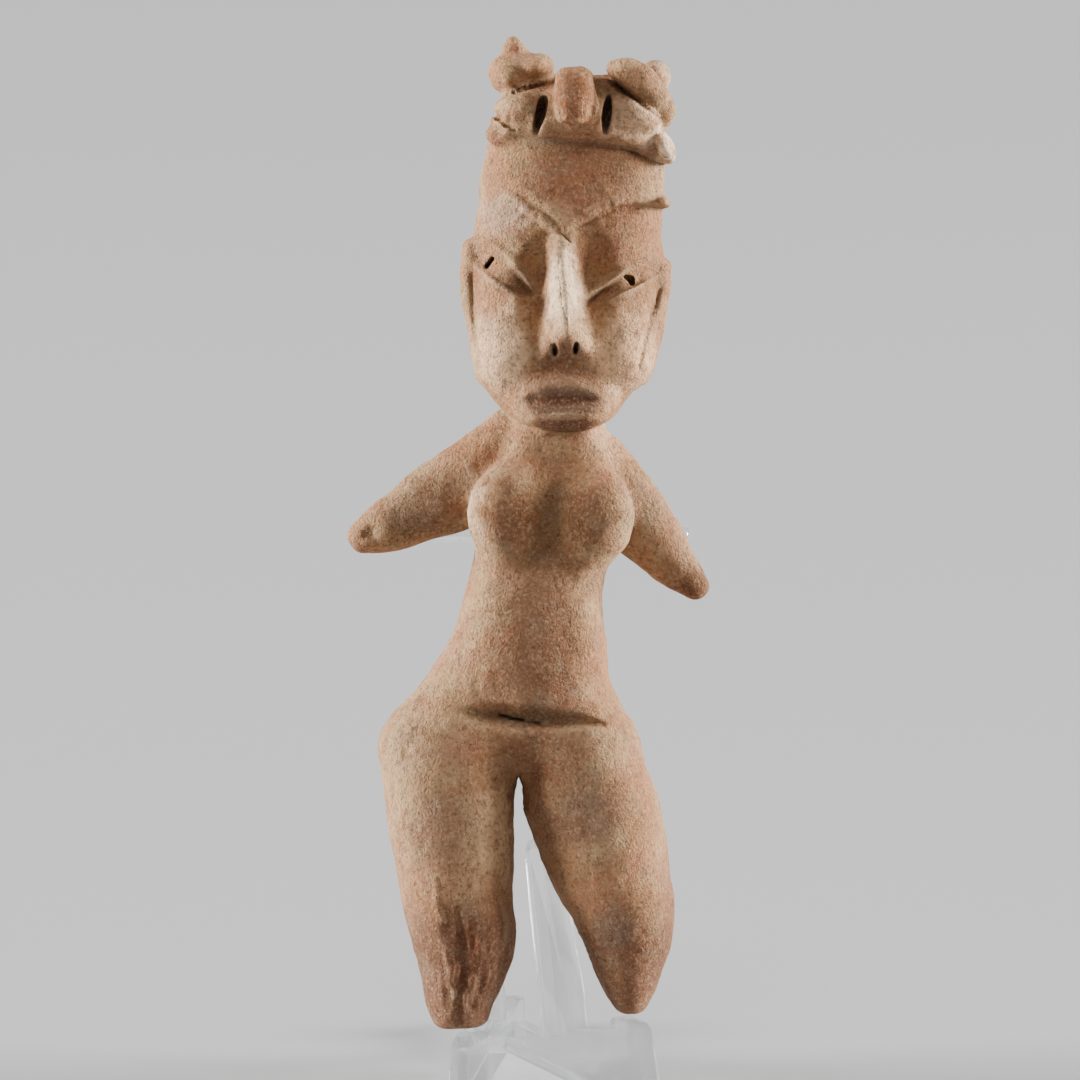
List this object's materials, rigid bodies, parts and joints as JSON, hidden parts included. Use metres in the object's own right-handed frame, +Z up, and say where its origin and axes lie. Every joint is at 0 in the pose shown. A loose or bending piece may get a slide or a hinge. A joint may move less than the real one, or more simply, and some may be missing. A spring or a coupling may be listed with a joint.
{
  "type": "tlatilco figurine",
  "caption": "Hand-modelled fired-clay female figurine with a tall headdress, leaning on its clear acrylic display stand.",
  "frame": {"origin": "on the floor under the middle of the whole part", "axes": "+Z up, +X to the viewer's right, +Y away from the viewer; the figurine faces -Y and leans back"},
  "size_m": [0.0552, 0.0638, 0.1617],
  "materials": {
    "fired_clay": "matt unglazed fired clay, hand-smoothed, with mineral specks and worn pits",
    "clear_acrylic": "clear polished acrylic sheet and rod"
  },
  "bodies": {
    "root": {"figurine": "fired_clay", "right_stand_plate": "clear_acrylic", "left_stand_plate": "clear_acrylic", "cross_rod": "clear_acrylic"}
  },
  "joints": []
}
